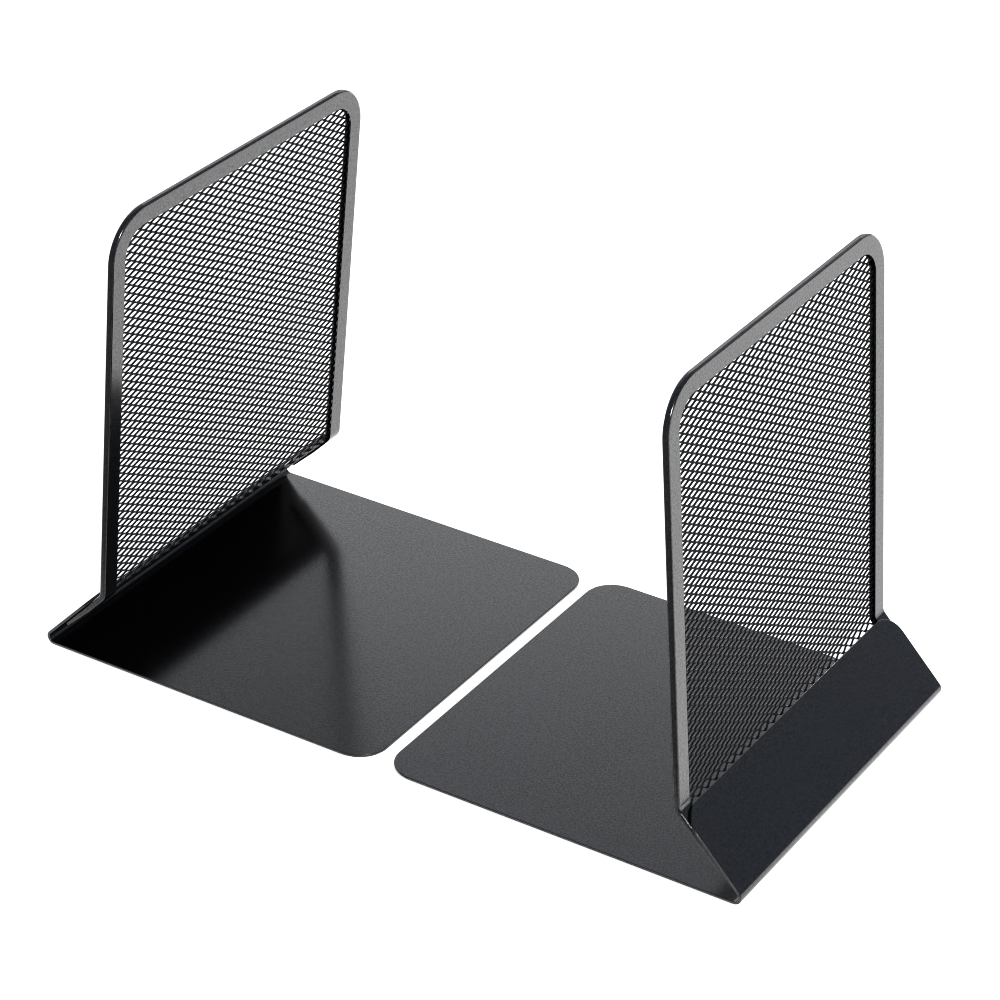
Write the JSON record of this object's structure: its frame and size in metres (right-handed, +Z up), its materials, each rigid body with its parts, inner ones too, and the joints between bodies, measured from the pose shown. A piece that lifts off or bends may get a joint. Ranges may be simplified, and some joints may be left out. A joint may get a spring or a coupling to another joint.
{
  "type": "book ends",
  "caption": "Pair of free-standing bookends: folded steel base plates with sloped flanges, and upright expanded-metal panels in rolled channel rims.",
  "frame": {"origin": "on the desk, midway between the two bookends", "axes": "+Z up, +X from the left bookend to the right one along the row of books, +Y across the bookends towards the back"},
  "size_m": [0.2504, 0.13, 0.1569],
  "materials": {
    "plate_paint": "satin black baked enamel with a very fine grain",
    "rim_paint": "satin black baked enamel",
    "mesh_paint": "semi-gloss black enamel",
    "pad_rubber": "matt"
  },
  "bodies": {
    "left_bookend": {"left_base_plate": "plate_paint", "left_panel_rim": "rim_paint", "left_mesh_panel": "mesh_paint", "left_non_slip_pads": "pad_rubber"},
    "right_bookend": {"right_base_plate": "plate_paint", "right_panel_rim": "rim_paint", "right_mesh_panel": "mesh_paint", "right_non_slip_pads": "pad_rubber"}
  },
  "joints": [
    {"name": "row_length", "type": "slide", "parent": "left_bookend", "child": "right_bookend", "axis": [1, 0, 0], "range_m": [-0.004, 0.3]}
  ]
}
